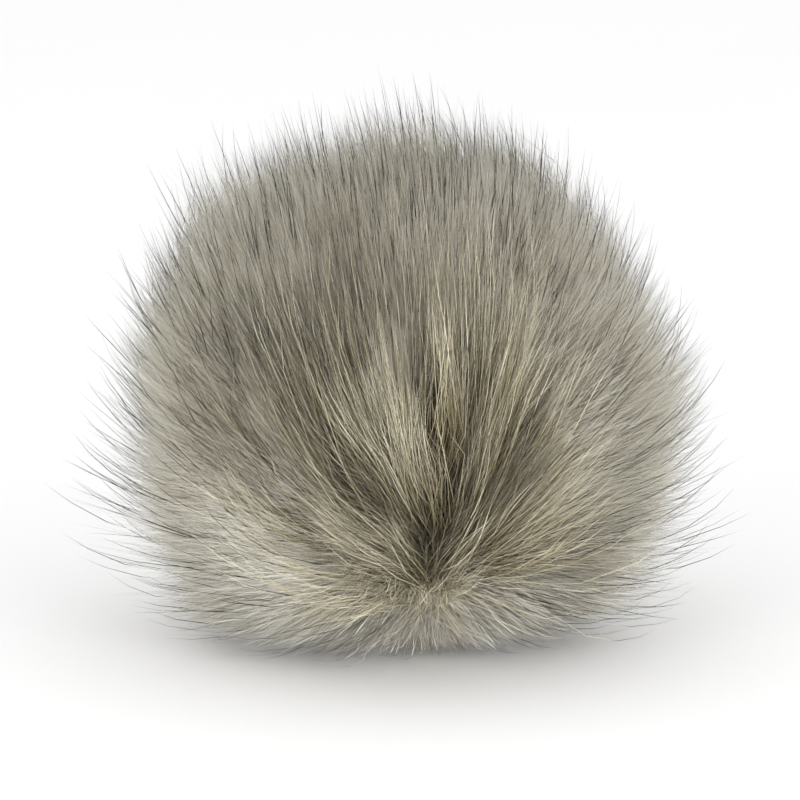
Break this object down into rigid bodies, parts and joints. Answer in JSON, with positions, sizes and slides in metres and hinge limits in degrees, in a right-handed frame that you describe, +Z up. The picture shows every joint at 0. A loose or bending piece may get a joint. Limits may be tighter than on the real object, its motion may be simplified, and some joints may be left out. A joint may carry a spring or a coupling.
{
  "type": "faux fur pom pom",
  "caption": "Round long-pile faux fur pom pom with its pile combed away from a gathered point low on the front, resting on a level underside.",
  "frame": {"origin": "on the surface that the pom pom rests on, straight under the centre of the ball, in the level end of the lock there", "axes": "+Z up; -Y is the front, where the gather shows low on the ball; +X to the viewer's right"},
  "size_m": [0.1489, 0.1442, 0.1283],
  "materials": {
    "fur": "long acrylic pile, matt, grey-beige with dark tips"
  },
  "bodies": {
    "root": {"fur_ball": "fur"}
  },
  "joints": []
}
